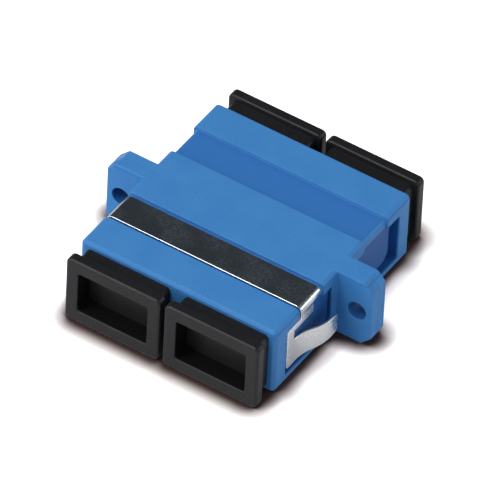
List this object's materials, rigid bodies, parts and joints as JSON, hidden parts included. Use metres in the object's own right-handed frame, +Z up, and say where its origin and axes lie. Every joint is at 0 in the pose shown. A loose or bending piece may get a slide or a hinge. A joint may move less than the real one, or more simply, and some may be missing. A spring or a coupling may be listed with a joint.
{
  "type": "duplex fibre optic adapter",
  "caption": "Flanged duplex coupler for push-pull fibre plugs, with welded moulded halves, a sprung sheet metal panel clip, alignment sleeves and pull-off dust caps.",
  "frame": {"origin": "middle of the bottom face, in the plane where the two housing halves meet", "axes": "+X across the two ports, +Y along the fibres towards the rear end, the clip being on the front half, +Z up"},
  "size_m": [0.0344, 0.0332, 0.009],
  "materials": {
    "housing_blue": "satin moulded blue plastic",
    "clip_steel": "bright rolled spring steel",
    "latch_plastic": "natural moulded plastic",
    "sleeve_ceramic": "polished white ceramic",
    "cap_black": "matte black soft plastic"
  },
  "bodies": {
    "adapter": {"front_housing": "housing_blue", "rear_housing": "housing_blue", "mounting_clip": "clip_steel", "front_latch_left": "latch_plastic", "front_latch_right": "latch_plastic", "rear_latch_left": "latch_plastic", "rear_latch_right": "latch_plastic", "sleeve_left": "sleeve_ceramic", "sleeve_right": "sleeve_ceramic"},
    "front_cap_left": {"front_cap_left": "cap_black"},
    "front_cap_right": {"front_cap_right": "cap_black"},
    "rear_cap_left": {"rear_cap_left": "cap_black"},
    "rear_cap_right": {"rear_cap_right": "cap_black"}
  },
  "joints": [
    {"name": "front_cap_left_pull", "type": "slide", "parent": "adapter", "child": "front_cap_left", "axis": [0, -1, 0], "range_m": [0, 0.03]},
    {"name": "front_cap_right_pull", "type": "slide", "parent": "adapter", "child": "front_cap_right", "axis": [0, -1, 0], "range_m": [0, 0.03]},
    {"name": "rear_cap_left_pull", "type": "slide", "parent": "adapter", "child": "rear_cap_left", "axis": [0, 1, 0], "range_m": [0, 0.03]},
    {"name": "rear_cap_right_pull", "type": "slide", "parent": "adapter", "child": "rear_cap_right", "axis": [0, 1, 0], "range_m": [0, 0.03]}
  ]
}
